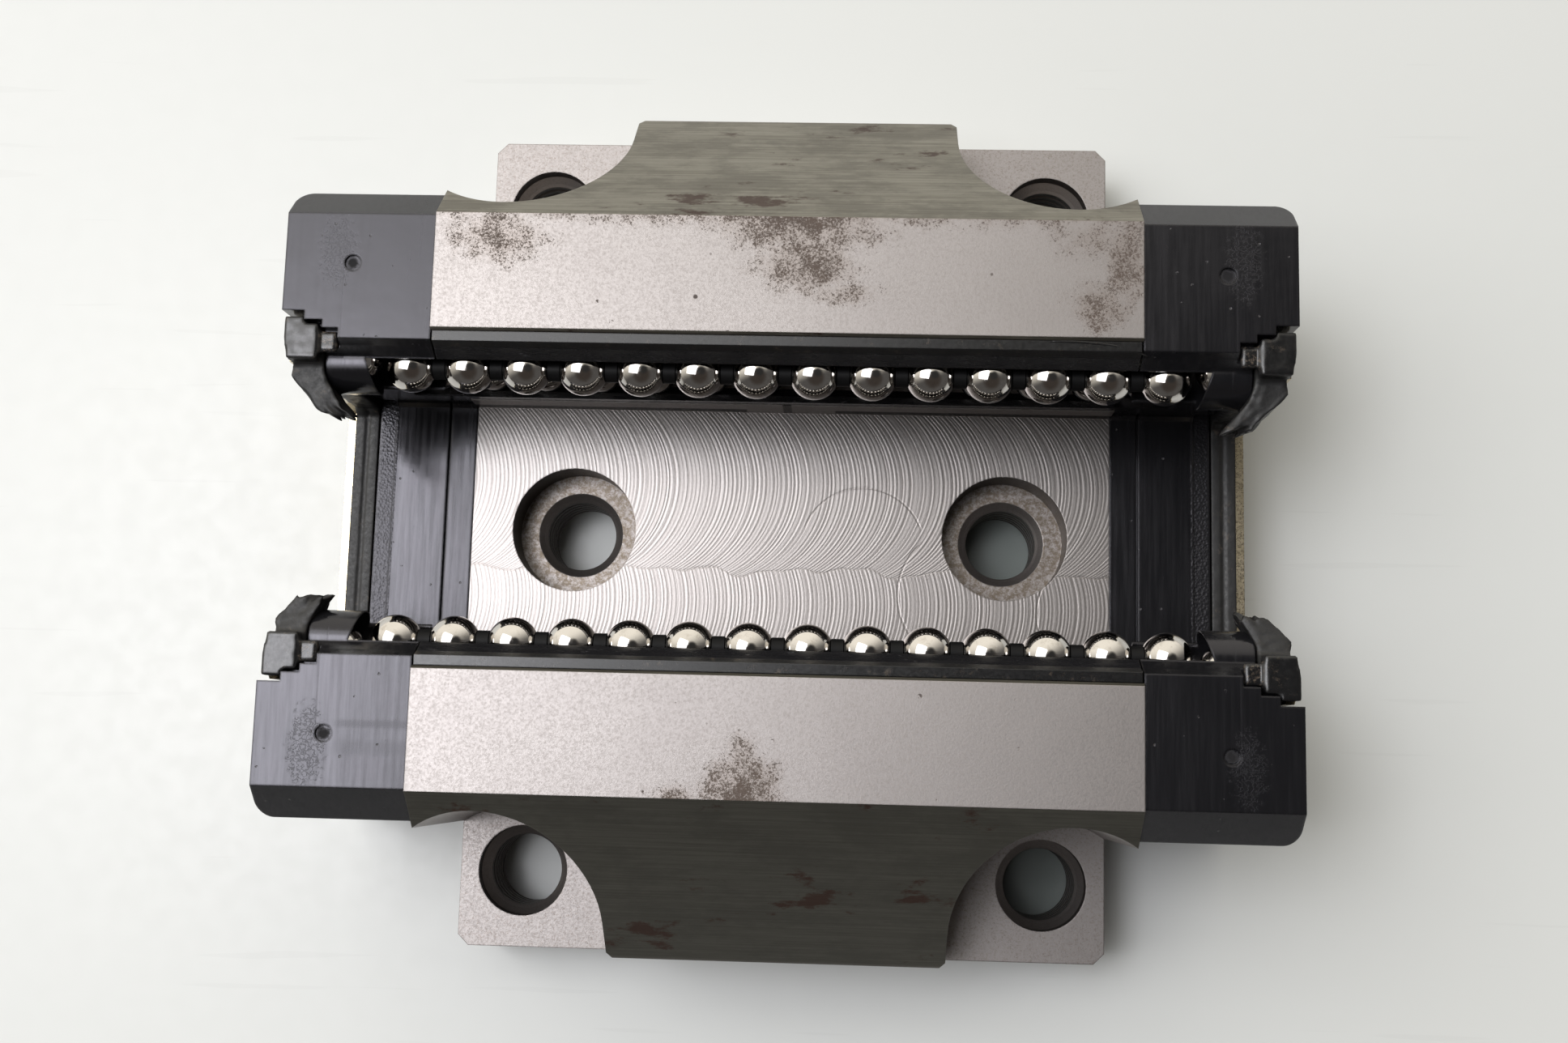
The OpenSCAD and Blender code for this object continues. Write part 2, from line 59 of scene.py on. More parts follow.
class Graph:
    """A small builder for one node tree. Every method returns an output socket."""

    def __init__(self, name):
        self.mat = bpy.data.materials.new(name)
        self.mat.use_nodes = True
        self.tree = self.mat.node_tree
        self.bsdf = self.tree.nodes["Principled BSDF"]
        coord = self.tree.nodes.new("ShaderNodeTexCoord")
        scale = self.tree.nodes.new("ShaderNodeVectorMath")
        scale.operation = "SCALE"
        scale.inputs["Scale"].default_value = 1 / MM
        self.tree.links.new(coord.outputs["Object"], scale.inputs[0])
        self.pos = scale.outputs[0]
        split = self.tree.nodes.new("ShaderNodeSeparateXYZ")
        self.tree.links.new(self.pos, split.inputs[0])
        self.x, self.y, self.z = split.outputs
        normal = self.tree.nodes.new("ShaderNodeSeparateXYZ")
        self.tree.links.new(coord.outputs["Normal"], normal.inputs[0])
        self.nx, self.ny, self.nz = normal.outputs

    def put(self, socket, value):
        if isinstance(value, bpy.types.NodeSocket):
            self.tree.links.new(value, socket)
        elif isinstance(value, (tuple, list)) and len(value) == 3 and socket.type == "RGBA":
            socket.default_value = (*value, 1)
        else:
            socket.default_value = value

    def math(self, op, a, b=None):
        n = self.tree.nodes.new("ShaderNodeMath")
        n.operation = op
        for socket, value in zip(n.inputs, (a, b)):
            if value is not None:
                self.put(socket, value)
        return n.outputs[0]

    def add(self, a, b):
        return self.math("ADD", a, b)

    def sub(self, a, b):
        return self.math("SUBTRACT", a, b)

    def size(self, value):
        return self.math("ABSOLUTE", value)

    def span(self, value, lo, hi, to_lo=0.0, to_hi=1.0):
        """A smooth step from to_lo at lo to to_hi at hi."""
        n = self.tree.nodes.new("ShaderNodeMapRange")
        n.interpolation_type = "SMOOTHSTEP"
        for key, v in (("Value", value), ("From Min", lo), ("From Max", hi),
                       ("To Min", to_lo), ("To Max", to_hi)):
            self.put(n.inputs[key], v)
        return n.outputs[0]

    def near(self, value, centre, half, soft=0.3):
        """1 where value is within half of centre, falling to 0 over soft."""
        d = self.size(self.sub(value, centre))
        return self.span(d, half, half + soft, 1.0, 0.0)

    def mul(self, *values):
        """The product of all values."""
        out = values[0]
        for v in values[1:]:
            out = self.math("MULTIPLY", out, v)
        return out

    def top(self, *values):
        """The largest of all values."""
        out = values[0]
        for v in values[1:]:
            out = self.math("MAXIMUM", out, v)
        return out

    def vector(self, x=1.0, y=1.0, z=1.0, move=(0, 0, 0)):
        """The position stretched along each axis and moved, to draw out a pattern."""
        n = self.tree.nodes.new("ShaderNodeMapping")
        self.tree.links.new(self.pos, n.inputs["Vector"])
        n.inputs["Scale"].default_value = (x, y, z)
        n.inputs["Location"].default_value = move
        return n.outputs[0]

    def noise(self, scale, detail=3.0, rough=0.5, vec=None):
        n = self.tree.nodes.new("ShaderNodeTexNoise")
        self.tree.links.new(vec or self.pos, n.inputs["Vector"])
        n.inputs["Scale"].default_value = scale
        n.inputs["Detail"].default_value = detail
        n.inputs["Roughness"].default_value = rough
        return n.outputs["Fac"]

    def wave(self, value, scale, detail=2.0, rough=0.6):
        """One-dimensional noise along a value, for turned and milled marks."""
        n = self.tree.nodes.new("ShaderNodeTexNoise")
        n.noise_dimensions = "1D"
        self.put(n.inputs["W"], value)
        n.inputs["Scale"].default_value = scale
        n.inputs["Detail"].default_value = detail
        n.inputs["Roughness"].default_value = rough
        return n.outputs["Fac"]

    def oval(self, cx, cy, rx, ry):
        """1 at the middle of an ellipse in X and Y, 0 at its edge."""
        dx = self.math("DIVIDE", self.sub(self.x, cx), rx)
        dy = self.math("DIVIDE", self.sub(self.y, cy), ry)
        return self.span(self.length(dx, dy), 0.0, 1.0, 1.0, 0.0)

    def voronoi(self, scale):
        n = self.tree.nodes.new("ShaderNodeTexVoronoi")
        self.tree.links.new(self.pos, n.inputs["Vector"])
        n.inputs["Scale"].default_value = scale
        return n.outputs["Distance"]

    def mix(self, fac, a, b):
        """From colour a to colour b."""
        n = self.tree.nodes.new("ShaderNodeMix")
        n.data_type = "RGBA"
        self.put(n.inputs[0], fac)
        self.put(n.inputs[6], a)
        self.put(n.inputs[7], b)
        return n.outputs[2]

    def blend(self, fac, a, b):
        """From number a to number b."""
        n = self.tree.nodes.new("ShaderNodeMix")
        self.put(n.inputs[0], fac)
        self.put(n.inputs[2], a)
        self.put(n.inputs[3], b)
        return n.outputs[0]

    def bump(self, height, distance_mm, strength=1.0, normal=None):
        n = self.tree.nodes.new("ShaderNodeBump")
        self.put(n.inputs["Height"], height)
        n.inputs["Distance"].default_value = distance_mm * MM
        n.inputs["Strength"].default_value = strength
        if normal is not None:
            self.tree.links.new(normal, n.inputs["Normal"])
        return n.outputs[0]

    def bevel(self, radius_mm):
        n = self.tree.nodes.new("ShaderNodeBevel")
        n.samples = 4
        n.inputs["Radius"].default_value = radius_mm * MM
        return n.outputs[0]

    def length(self, dx, dy):
        return self.math("SQRT", self.add(self.mul(dx, dx), self.mul(dy, dy)))

    def radius(self, cx, cy):
        """Distance in mm from a vertical axis at cx, cy."""
        return self.length(self.sub(self.x, cx), self.sub(self.y, cy))

    def set(self, **values):
        """Sets the shader's sockets and returns the material."""
        names = {"color": "Base Color", "rough": "Roughness", "metal": "Metallic",
                 "normal": "Normal", "ior": "IOR", "specular": "Specular IOR Level",
                 "tint": "Specular Tint"}
        for key, value in values.items():
            self.put(self.bsdf.inputs[names[key]], value)
        return self.mat


# ---------------------------------------------------------------- sizes of the part, in mm

block_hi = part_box("carriage_block")[1] / MM
seal_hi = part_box("side_seal_left")[1] / MM
BLOCK_X = block_hi.x
BLOCK_Z = block_hi.z
STRIP_TOP = seal_hi.z
# Outer edge of the ground faces, and the heights of ceiling, corner plates and bolt seats
SKIRT_Y = 31.4
CEILING_Z = 14.7
PLATE_Z = 11.0
SEAT_Z = 9.2
# Foot of the channel walls above the ceiling
WALL_Y = 15.0
# Radius of the cutter that milled the ceiling
CUTTER_R = 12.2
# Corner and centre holes: places, wall radii, and half the pitch of their threads
HOLE_X, HOLE_Y = 31.0, 41.0
CENTRE_X = 26.0
TAPPED_R = 4.6
BORED_R = 5.6
SEAT_EXTRA_R = 2.15
HALF_PITCH = 0.75
# Ejector mark on each leg of the end caps, and the parting line beside it
MARK_X, MARK_Y = 47.5, 25.6
PARTING_X = 48.4
# End seals: voxel of the remesh, outer side of the sheet, foot of the end blocks, root of a lip
SEAL_VOXEL = 0.26
PLATE_SIDE_X = 52.6
BLOCK_FOOT_Z = 38.0
LIP_ROOT_Y = 14.9
LIP_ROOT_Z = 30.5


def steel_block():
    g = Graph("block_steel")
    up = g.span(g.nz, 0.8, 0.95)
    skirt = g.mul(up, g.near(g.z, BLOCK_Z, 0.4, 0.4))
    ceiling = g.mul(up, g.near(g.z, CEILING_Z, 0.3, 0.3))
    plate = g.mul(up, g.near(g.z, PLATE_Z, 0.3, 0.3))
    seat = g.mul(up, g.near(g.z, SEAT_Z, 0.3, 0.3))
    slope = g.mul(g.near(g.nz, 0.667, 0.12, 0.1), g.span(g.z, 19.0, 20.0))
    low_side_shade = g.span(g.y, -5, 5, 1.0, 0.0)

    # Ground steel: pinkish grey, with a dense fine grain
    cloud = g.noise(0.08, 4, 0.6)
    grain = g.noise(3.4, 3, 0.75)
    fine = g.noise(8.0, 2, 0.7)
    color = g.mix(cloud, (0.285, 0.265, 0.256), (0.335, 0.313, 0.304))
    color = g.mix(g.mul(ceiling, 0.6), color, (0.33, 0.31, 0.302))
    color = g.mix(g.span(grain, 0.42, 0.72, 0.0, 0.20), color, (0.17, 0.145, 0.13))

    # Brushed flanks with an olive cast and brown oxide; the flank on the -Y side is darkened as
    # painted shade
    brushed = g.noise(1.0, 5, 0.78, g.vector(0.05, 3.0, 3.0))
    soot = g.noise(0.22, 5, 0.7, g.vector(0.5, 1.0, 1.0, (9, 2, 0)))
    flank = g.mix(g.span(brushed, 0.35, 0.65), (0.185, 0.172, 0.142), (0.30, 0.285, 0.245))
    flank = g.mix(g.span(soot, 0.42, 0.62, 0.0, 0.5), flank, (0.115, 0.105, 0.088))
    # painted shade: the -Y flank is mixed towards near-black
    flank = g.mix(g.mul(low_side_shade, 0.80), flank, (0.052, 0.050, 0.044))
    stain = g.span(g.noise(0.14, 6, 0.68, g.vector(0.6, 1.2, 1.0, (31, 7, 3))), 0.585, 0.66)
    flank = g.mix(g.mul(stain, 0.8), flank, (0.050, 0.020, 0.014))
    color = g.mix(slope, color, flank)

    # Rust on the ground faces, thickest at the outer edge and breaking up into specks
    edge = g.span(g.size(g.y), SKIRT_Y - 2.6, SKIRT_Y + 0.4)
    where = g.top(
        g.oval(0.04 * BLOCK_X, SKIRT_Y + 0.5, 18, 7.5),
        g.mul(g.oval(0.06 * BLOCK_X, SKIRT_Y - 5, 10, 6), 0.85),
        g.mul(g.oval(0.16 * BLOCK_X, SKIRT_Y - 8.5, 9, 2.4), 0.62),
        g.mul(g.oval(-0.82 * BLOCK_X, SKIRT_Y - 2.5, 10, 6), 0.72),
        g.mul(g.oval(0.95 * BLOCK_X, SKIRT_Y - 4.5, 4, 9), 0.85),
        g.mul(g.oval(0.88 * BLOCK_X, SKIRT_Y - 9.5, 6, 5), 0.80),
        g.mul(g.oval(0.86 * BLOCK_X, SKIRT_Y - 2, 9, 4), 0.60),
        g.mul(g.oval(-0.08 * BLOCK_X, -SKIRT_Y + 1, 7.5, 7), 0.95),
        g.mul(g.oval(-0.08 * BLOCK_X, -SKIRT_Y + 4, 3, 5), 0.8),
        g.mul(g.oval(-0.26 * BLOCK_X, -SKIRT_Y, 4, 3), 0.8),
        g.mul(edge, g.span(g.y, 0, 1), 0.50),
    )
    blotch = g.noise(0.5, 4, 0.65)
    specks = g.noise(4.2, 3, 0.85)
    ragged = g.add(g.mul(g.sub(blotch, 0.5), 1.7),
                    g.mul(g.sub(specks, 0.5), 2.9))
    rust = g.span(g.add(g.mul(where, 0.85), ragged), 0.42, 0.95)
    rust = g.mul(rust, g.span(where, 0.02, 0.3), skirt)
    pit = g.mul(g.span(g.voronoi(0.30), 0.05, 0.09, 1.0, 0.0), g.span(blotch, 0.49, 0.53))
    rust = g.top(rust, g.mul(pit, skirt, 0.9))
    oxide = g.mix(g.noise(0.8, 3), (0.026, 0.018, 0.017), (0.070, 0.043, 0.032))
    color = g.mix(g.mul(rust, 0.84), color, oxide)
    halo = g.mul(g.span(g.add(where, g.sub(blotch, 0.5)), 0.15, 0.7), skirt)
    color = g.mix(g.mul(halo, 0.28), color, (0.17, 0.125, 0.095))

    # Milled ceiling: arcs of a cutter fed along X, in two passes that meet at a faint step
    def cutter(mid_y, pitch):
        dy = g.sub(g.y, mid_y)
        reach = g.sub(CUTTER_R ** 2, g.mul(dy, dy))
        bow = g.math("SQRT", g.math("MAXIMUM", reach, 0.5))
        phase = g.sub(g.x, bow)
        drift = g.mul(g.wave(phase, 0.35, 2), 9.0)
        tooth = g.math("SINE", g.add(g.mul(phase, 2 * math.pi / pitch), drift))
        return g.blend(0.45, g.span(tooth, -1, 1), g.span(g.wave(phase, 1.1 / pitch, 1), 0.3, 0.7))

    step_y = g.add(g.y, g.mul(g.sub(g.noise(0.13, 2), 0.5), 5))
    lower = g.span(step_y, -4.6, -4.2, 1.0, 0.0)
    mill = g.blend(lower, cutter(6.0, 0.50), cutter(-8.5, 0.47))
    stray = g.top(
        g.mul(g.near(g.radius(9.0, -1.6), 7.4, 0.05, 0.12), g.span(g.y, 0.5, 1.5)),
        g.mul(g.near(g.radius(21.5, -7.0), 8.2, 0.06, 0.12), g.span(g.x, 15.0, 16.5, 1.0, 0.0)),
        g.mul(g.near(g.radius(37.5, -9.0), 7.6, 0.05, 0.12), g.span(g.x, 31.0, 32.5, 1.0, 0.0)),
        g.mul(g.near(step_y, -4.4, 0.05, 0.12), 0.7),
    )
    mill = g.mul(g.sub(mill, stray), ceiling)
    faint = g.span(g.noise(0.16, 3, 0.6), 0.3, 0.7, 0.35, 1.0)
    valley = g.mul(ceiling, faint, g.span(mill, 0.10, 0.5, 0.50, 0.0))
    color = g.mix(valley, color, (0.15, 0.135, 0.125))
    color = g.mix(g.mul(ceiling, g.span(mill, 0.7, 0.95, 0.0, 0.25)), color, (0.55, 0.53, 0.515))

    # Corner plates: fine dark grain; counterbore floors: coarse and rusty
    speck = g.span(g.noise(4.5, 3, 0.8), 0.5, 0.68)
    color = g.mix(g.mul(plate, speck, 0.6), color, (0.15, 0.115, 0.095))
    crust = g.span(g.noise(1.8, 5, 0.8), 0.36, 0.6)
    color = g.mix(g.mul(seat, crust, 0.9), color, (0.135, 0.108, 0.080))

    # Channel walls above the ceiling: painted shade along their foot, interrupted in the middle,
    # where a painted shade slit stands instead
    upright = g.span(g.size(g.nz), 0.4, 0.8, 1.0, 0.0)
    side = g.near(g.size(g.y), WALL_Y, 0.6, 0.2)
    foot = g.mul(side, upright, g.near(g.z, CEILING_Z + 0.9, 0.7, 0.15))
    foot = g.mul(foot, g.span(g.size(g.x), 5.2, 5.5))
    slit_shade = g.mul(side, g.near(g.x, -0.4, 0.45, 0.15), g.near(g.z, CEILING_Z + 2.5, 2.2, 0.3))
    # painted shade: near-black at the wall foot and in the slit
    color = g.mix(g.top(foot, g.mul(slit_shade, 0.8)), color, (0.015, 0.014, 0.013))

    # Hole walls: darkened as painted shade, with the lines of their threads
    corner = g.length(g.sub(g.size(g.x), HOLE_X), g.sub(g.size(g.y), HOLE_Y))
    centre = g.length(g.sub(g.size(g.x), CENTRE_X), g.y)
    tapped = g.math("LESS_THAN", g.math("MINIMUM", corner, centre), TAPPED_R)
    nearest = g.math("MINIMUM", corner, g.sub(centre, SEAT_EXTRA_R))
    shaded_hole_wall = g.mul(g.math("LESS_THAN", nearest, BORED_R), upright)
    # painted shade inside the holes
    color = g.mix(g.mul(shaded_hole_wall, 0.85), color, (0.034, 0.026, 0.021))
    thread = g.math("DIVIDE", g.math("PINGPONG", g.z, HALF_PITCH), HALF_PITCH)
    thread = g.mul(tapped, upright, thread)
    color = g.mix(g.mul(thread, 0.35), color, (0.30, 0.27, 0.24))

    rough = g.span(grain, 0.3, 0.8, 0.40, 0.52)
    rough = g.blend(slope, rough, 0.46)
    rough = g.blend(ceiling, rough, 0.36)
    rough = g.blend(rust, rough, 0.85)
    height = g.add(g.mul(grain, 0.40), g.mul(fine, 0.20))
    height = g.add(height, g.mul(mill, 0.55))
    height = g.add(height, g.mul(brushed, slope, 0.5))
    height = g.add(height, g.mul(rust, -0.5))
    fine_normal = g.bump(height, 0.022, 1.0, g.bevel(0.18))
    normal = g.bump(thread, 0.45, 1.0, fine_normal)
    metal = g.span(g.top(rust, g.mul(shaded_hole_wall, 0.5)), 0.0, 1.0, 1.0, 0.25)
    return g.set(color=color, rough=rough, metal=metal, normal=normal)


def raceway_steel():
    g = Graph("raceway_steel")
    lines = g.noise(1.0, 4, 0.7, g.vector(0.03, 6.0, 6.0))
    color = g.mix(lines, (0.30, 0.28, 0.26), (0.48, 0.46, 0.44))
    return g.set(color=color, rough=g.span(lines, 0, 1, 0.2, 0.4), metal=1.0,
                 normal=g.bump(lines, 0.01))


def ball_steel():
    g = Graph("ball_steel")
    film = g.noise(0.35, 2)
    smear = g.span(g.noise(0.9, 4, 0.7), 0.50, 0.72)
    color = g.mix(film, (0.56, 0.535, 0.51), (0.68, 0.66, 0.64))
    color = g.mix(g.mul(smear, 0.35), color, (0.33, 0.29, 0.25))
    return g.set(color=color, rough=g.span(smear, 0.0, 1.0, 0.085, 0.19), metal=1.0)


def cap_plastic():
    g = Graph("cap_plastic")
    up = g.span(g.nz, 0.8, 0.95)
    ax, ay = g.size(g.x), g.size(g.y)
    wear = g.noise(0.16, 3, 0.5)
    haze = g.noise(1.1, 5, 0.7)
    # Faint streaks across the leg, and a few pale nicks
    streak = g.noise(1.0, 4, 0.65, g.vector(1.9, 0.09, 1.0))
    nick = g.mul(g.span(g.voronoi(0.55), 0.05, 0.10, 1.0, 0.0), g.span(haze, 0.50, 0.56))

    # Ejector mark of each leg, dark inside, with crazed plastic beside it and sink lines
    mark_r = g.length(g.sub(ax, MARK_X), g.sub(ay, MARK_Y))
    mark_edge = g.span(haze, 0.35, 0.65, -0.15, 0.15)
    mark = g.span(g.add(mark_r, mark_edge), 0.35, 0.85, 1.0, 0.0)
    one_leg = g.mul(g.span(g.x, -1, 0, 1.0, 0.0), g.span(g.y, -1, 0, 1.0, 0.0), up)
    sink = g.top(g.near(ay, 24.5, 0.1, 0.6), g.mul(g.near(ay, 27.0, 0.3, 0.9), 0.6))
    sink = g.mul(sink, one_leg, g.span(ax, 45.0, 47.5, 1.0, 0.0))
    parting = g.mul(g.near(ax, PARTING_X, 0.04, 0.10), g.span(ay, 24.3, 25.0, 1.0, 0.0), up)
    ex = g.math("DIVIDE", g.sub(ax, 49.2), 2.2)
    ey = g.math("DIVIDE", g.sub(ay, 27.0), 4.6)
    spot = g.add(g.mul(ex, ex), g.mul(ey, ey))
    spot = g.span(g.add(spot, g.span(haze, 0.3, 0.7, -0.6, 0.6)), 0.4, 1.1, 1.0, 0.0)
    craze = g.size(g.sub(g.noise(1.9, 3, 0.6), 0.5))
    crackle = g.mul(spot, up, g.span(craze, 0.0, 0.05, 1.0, 0.2))
    # Ceiling of the cap: a sand-blasted band between two smooth ones
    inner = g.mul(g.near(g.z, CEILING_Z - 0.2, 0.9, 0.4), g.span(ay, 15.5, 16.0, 1.0, 0.0))
    band = g.mul(inner, g.near(ax, 49.3, 0.9, 0.3))
    sand = g.voronoi(3.2)

    color = g.mix(wear, (0.0065, 0.0065, 0.0075), (0.010, 0.010, 0.0115))
    color = g.mix(g.mul(nick, 0.5), color, (0.10, 0.095, 0.09))
    color = g.mix(mark, color, (0.002, 0.002, 0.002))
    rough = g.span(streak, 0.3, 0.7, 0.15, 0.25)
    rough = g.add(rough, g.mul(g.span(ax, 41, 47, 1.0, 0.0), 0.03))
    rough = g.blend(g.mul(crackle, 0.55), rough, 0.40)
    rough = g.blend(g.mul(sink, 0.55), rough, 0.34)
    rough = g.blend(g.mul(parting, 0.3), rough, 0.45)
    rough = g.blend(mark, rough, 0.8)
    rough = g.blend(band, rough, 0.30)
    height = g.add(g.mul(wear, 0.55), g.mul(haze, 0.06))
    height = g.add(height, g.mul(streak, 0.05))
    height = g.sub(height, g.mul(crackle, 0.08))
    height = g.sub(height, g.mul(nick, 0.3))
    height = g.sub(height, g.mul(parting, 0.04))
    height = g.add(height, g.mul(band, sand, 0.5))
    return g.set(color=color, rough=rough, normal=g.bump(height, 0.10, 0.7, g.bevel(0.3)),
                 ior=1.5, tint=(0.94, 0.925, 1.0, 1.0))


def strip_plastic():
    g = Graph("strip_plastic")
    wear = g.noise(1.0, 4, 0.65, g.vector(0.25, 1.5, 1.5))
    nick = g.span(g.noise(0.9, 5, 0.8, g.vector(0.5, 1.0, 1.0)), 0.60, 0.70)
    edge = g.span(g.z, STRIP_TOP - 0.4, STRIP_TOP - 0.2)
    cut = g.top(g.near(g.x, -24.6, 0.35, 0.15), g.mul(g.near(g.x, 11.5, 1.2, 0.5), 0.5))
    cut = g.mul(cut, edge, g.span(g.y, -1, 1, 1.0, 0.0))
    rub = g.mul(g.span(g.noise(0.7, 4, 0.75, g.vector(2.2, 0.6, 1.0, (2, 5, 0))), 0.60, 0.66), edge)
    color = g.mix(g.mul(nick, 0.4), (0.010, 0.010, 0.0115), (0.13, 0.13, 0.14))
    color = g.mix(g.mul(rub, 0.5), color, (0.16, 0.16, 0.17))
    color = g.mix(cut, color, (0.003, 0.003, 0.003))
    rough = g.blend(g.top(cut, g.mul(rub, 0.5)), g.span(wear, 0.3, 0.7, 0.18, 0.34), 0.6)
    height = g.sub(g.add(g.mul(wear, 0.5), g.mul(nick, 0.6)), cut)
    return g.set(color=color, rough=rough, normal=g.bump(height, 0.03, 0.5, g.bevel(0.12)))


def rubber():
    g = Graph("seal_rubber")
    up = g.mul(g.span(g.nz, 0.75, 0.95), g.span(g.z, BLOCK_FOOT_Z, BLOCK_FOOT_Z + 1))
    pores = g.noise(2.2, 6, 0.75)
    dirt = g.span(g.noise(0.7, 6, 0.8), 0.56, 0.72)
    tab = g.mul(g.near(g.z, 39.2, 0.5, 0.2), g.near(g.size(g.x), 49.8, 1.1, 0.1))
    dirt = g.top(g.mul(dirt, 0.35), g.mul(tab, g.span(pores, 0.52, 0.62), 0.6))
    color = g.mix(dirt, (0.0085, 0.0085, 0.009), (0.16, 0.125, 0.095))
    rough = g.blend(up, g.span(pores, 0.3, 0.7, 0.40, 0.58), g.span(pores, 0.3, 0.7, 0.17, 0.27))
    height = g.mul(pores, g.blend(up, 1.0, 0.15))
    return g.set(color=color, rough=rough, normal=g.bump(height, 0.05, 0.6, g.bevel(0.15)))


def inner_plastic(name, dark, gloss=0.5):
    g = Graph(name)
    wear = g.noise(0.9, 4, 0.6)
    color = g.mix(wear, (dark, dark, dark * 1.05), (dark * 1.7, dark * 1.7, dark * 1.8))
    return g.set(color=color, rough=g.span(wear, 0.2, 0.8, 0.45, 0.6), specular=gloss,
                 normal=g.bump(wear, 0.03, 0.5))


def plated(name, light, dark, rough):
    g = Graph(name)
    haze = g.noise(0.5, 4, 0.65)
    grain = g.noise(5.0, 2, 0.6)
    return g.set(color=g.mix(haze, dark, light), rough=g.span(grain, 0.2, 0.8, rough, rough + 0.15),
                 metal=1.0, normal=g.bump(g.add(haze, grain), 0.02, 0.6, g.bevel(0.12)))


look = {
    "block_steel": steel_block(),
    "raceway_steel": raceway_steel(),
    "ball_steel": ball_steel(),
    "spacer_plastic": inner_plastic("spacer_plastic", 0.004, 0.15),
    "retainer_plastic": strip_plastic(),
    "seal_rubber": rubber(),
    "cap_plastic": cap_plastic(),
    "guide_plastic": inner_plastic("guide_plastic", 0.02),
    "plate_steel": plated("plate_steel", (0.62, 0.56, 0.44), (0.42, 0.34, 0.20), 0.22),
    "screw_black": plated("screw_black", (0.07, 0.07, 0.072), (0.035, 0.035, 0.036), 0.35),
    "screw_zinc": plated("screw_zinc", (0.58, 0.58, 0.58), (0.40, 0.39, 0.37), 0.25),
    "plug_steel": plated("plug_steel", (0.50, 0.50, 0.50), (0.34, 0.33, 0.31), 0.28),
}
slot_of = {s["node"]: s["material_slot"] for s in frame["record"]["subparts"]}
for name, o in nodes.items():
    o.data.materials.clear()
    o.data.materials.append(look[slot_of[name]])


# ---------------------------------------------------------------- worn rubber pieces


def add_piece(name, mesh, slot):
    o = bpy.data.objects.new(name, mesh)
    bpy.context.scene.collection.objects.link(o)
    mesh.materials.clear()
    mesh.materials.append(look[slot])
    for face in mesh.polygons:
        face.use_smooth = True
    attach(o, "carriage")
    return o


def remeshed(node):
    """A copy of a CAD node's mesh, made even by a fine voxel remesh."""
    raw = bpy.data.objects.new("raw_seal", nodes[node].data.copy())
    bpy.context.scene.collection.objects.link(raw)
    skin = raw.modifiers.new("skin", "REMESH")
    skin.mode = "VOXEL"
    skin.voxel_size = SEAL_VOXEL * MM
    graph = bpy.context.evaluated_depsgraph_get()
    mesh = bpy.data.meshes.new_from_object(raw.evaluated_get(graph))
    bpy.data.objects.remove(raw)
    return mesh


def torn_seal(end, sign):
    """The end seal with its lips torn back and bent inwards, from the CAD node's own mesh."""
    mesh = remeshed(f"end_seal_{end}")
    mesh.name = f"torn_seal_{end}"
    for v in mesh.vertices:
        x, y, z = v.co / MM
        side = 1 if y > 0 else -1
        depth = LIP_ROOT_Y - abs(y)
        if z > LIP_ROOT_Z and depth > 0:
            long_lip = 1.55 if side > 0 else 1.12
            tear = noise.noise(Vector((x * 0.9, y * 0.35, z * 0.9 + 7 * sign)))
            depth *= long_lip + 0.28 * tear
            uneven = noise.noise(Vector((7 * sign, y * 0.5, z * 0.7)))
            bend = 0.105 * depth ** 2 * (1 + 0.4 * uneven)
            if x * sign > PLATE_SIDE_X:
                x += sign * max(0.0, 1 - abs(depth - 1.6) / 2.4)
            y = side * (LIP_ROOT_Y - depth)
            x -= sign * bend
            z += 0.10 * depth
        worn = 1.0 if CEILING_Z + 2 < z < BLOCK_FOOT_Z else 0.3
        rough = noise.noise_vector(Vector((x, y, z)) * 1.3) * 0.10 * worn
        rough += noise.noise_vector(Vector((x, y, z)) * 4.0) * 0.03 * worn
        rough.x *= 0.25
        v.co = (Vector((x, y, z)) + rough) * MM
    o = add_piece(f"torn_seal_{end}", mesh, "seal_rubber")
    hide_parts(f"end_seal_{end}")


def peeled_strand(name, points, radius_mm):
    """A thin peeled strand of rubber: a tapered tube along a smooth curve."""
    rings, around = 28, 8
    start, middle, stop = (Vector(p) for p in points)
    bm = bmesh.new()
    loops = []
    for i in range(rings + 1):
        t = i / rings
        centre = start * (1 - t) ** 2 + middle * 2 * t * (1 - t) + stop * t ** 2
        along = ((middle - start) * (1 - t) + (stop - middle) * t).normalized()
        across = along.cross(Vector((0, 0, 1))).normalized()
        lift = across.cross(along)
        r = radius_mm * (0.25 + 0.75 * math.sin(math.pi * (0.08 + 0.84 * t)))
        r *= 1 + 0.2 * noise.noise(centre * 1.7)
        loops.append([
            bm.verts.new((centre + across * r * math.cos(a) + lift * 0.6 * r * math.sin(a)) * MM)
            for a in (2 * math.pi * k / around for k in range(around))
        ])
    for one, two in zip(loops, loops[1:]):
        for k in range(around):
            bm.faces.new((one[k], one[k - 1], two[k - 1], two[k]))
    bm.faces.new(loops[0])
    bm.faces.new(list(reversed(loops[-1])))
    bmesh.ops.recalc_face_normals(bm, faces=bm.faces)
    mesh = bpy.data.meshes.new(name)
    bm.to_mesh(mesh)
    bm.free()
    add_piece(name, mesh, "seal_rubber")


torn_seal("front", 1)
torn_seal("rear", -1)
peeled_strand("peeled_strand", (
    (BLOCK_X * 0.74, seal_hi.y - 0.1, STRIP_TOP + 0.05),
    (BLOCK_X * 0.92, seal_hi.y + 0.1, STRIP_TOP + 0.10),
    (BLOCK_X * 1.01, seal_hi.y - 1.5, STRIP_TOP - 0.35),
), 0.16)


# ---------------------------------------------------------------- floor, light, camera


